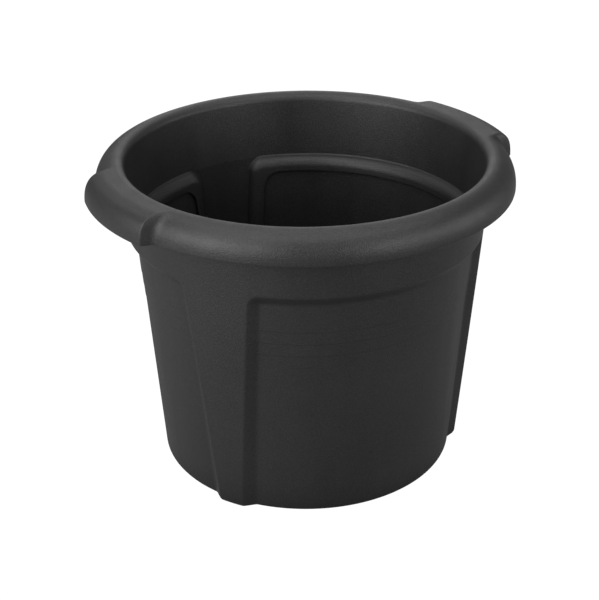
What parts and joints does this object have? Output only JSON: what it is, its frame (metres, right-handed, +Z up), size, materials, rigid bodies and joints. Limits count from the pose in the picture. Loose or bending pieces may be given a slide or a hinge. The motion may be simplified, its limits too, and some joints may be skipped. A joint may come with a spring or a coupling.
{
  "type": "florist bucket",
  "caption": "Round tapered plastic growing bucket of an inner and an outer pot: the inner one has a rolled rim, side grips and windows, and lifts out.",
  "frame": {"origin": "centre of the base, on the plane the bucket stands on", "axes": "+Z up along the bucket's axis, the two grips on +X and -X, one panel facing -Y and one pillar facing +Y"},
  "size_m": [0.35, 0.331, 0.2575],
  "materials": {
    "outer_plastic": "satin black moulded polypropylene, fine grain",
    "inner_plastic": "satin black moulded polypropylene, fine grain"
  },
  "bodies": {
    "outer_pot": {"outer_pot": "outer_plastic"},
    "inner_pot": {"inner_pot": "inner_plastic"}
  },
  "joints": [
    {"name": "inner_pot_lift", "type": "slide", "parent": "outer_pot", "child": "inner_pot", "axis": [0, 0, 1], "range_m": [0, 0.27]}
  ]
}
